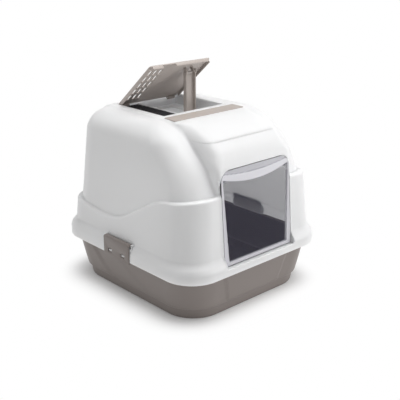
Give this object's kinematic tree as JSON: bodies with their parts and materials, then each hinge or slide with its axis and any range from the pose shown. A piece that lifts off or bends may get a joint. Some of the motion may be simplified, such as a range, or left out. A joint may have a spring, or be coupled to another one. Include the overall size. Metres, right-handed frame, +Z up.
{
  "type": "hooded cat litter box",
  "caption": "Hooded cat litter box: tray, lift-off hood with a see-through swing door, propped roof lid over a filter pocket, and side clips.",
  "frame": {"origin": "centre of the footprint, on the floor under the tray", "axes": "+Z up, the door in the -Y end, +X to the right of someone facing the +Y way"},
  "size_m": [0.435, 0.47, 0.5064],
  "materials": {
    "tray_plastic": "satin",
    "hood_plastic": "satin",
    "taupe_trim": "satin",
    "carbon_pad": "matte fleece",
    "smoked_clear": "gloss"
  },
  "bodies": {
    "tray": {"base_tray": "tray_plastic"},
    "hood": {"hood": "hood_plastic", "roof_trim": "taupe_trim", "carbon_filter": "carbon_pad", "lid_pin_left": "hood_plastic", "lid_pin_right": "hood_plastic", "latch_pin_left": "hood_plastic", "latch_pin_right": "hood_plastic"},
    "lid": {"roof_lid": "taupe_trim", "prop_arm_pin": "taupe_trim"},
    "arm": {"prop_arm": "taupe_trim"},
    "door": {"door_panel": "smoked_clear", "door_pin_left": "smoked_clear", "door_pin_right": "smoked_clear"},
    "clip_left": {"latch_left": "taupe_trim"},
    "clip_right": {"latch_right": "taupe_trim"}
  },
  "joints": [
    {"name": "hood_lift", "type": "slide", "parent": "tray", "child": "hood", "axis": [0, 0, 1], "range_m": [0, 0.35]},
    {"name": "lid_hinge", "type": "hinge", "parent": "hood", "child": "lid", "pos_m": [0, 0.149, 0.398], "axis": [1, 0, 0], "range_deg": [-55, 40.7]},
    {"name": "prop_arm_fold", "type": "hinge", "parent": "lid", "child": "arm", "pos_m": [0.041, 0.04499, 0.47797], "axis": [1, 0, 0], "range_deg": [-20, 49.3]},
    {"name": "door_swing", "type": "hinge", "parent": "hood", "child": "door", "pos_m": [0, -0.20645, 0.29922], "axis": [1, 0, 0], "range_deg": [-75, 75]},
    {"name": "clip_left_swing", "type": "hinge", "parent": "hood", "child": "clip_left", "pos_m": [-0.207, 0.007, 0.138], "axis": [0, 1, 0], "range_deg": [0, 90]},
    {"name": "clip_right_swing", "type": "hinge", "parent": "hood", "child": "clip_right", "pos_m": [0.207, 0.007, 0.138], "axis": [0, -1, 0], "range_deg": [0, 90]}
  ]
}
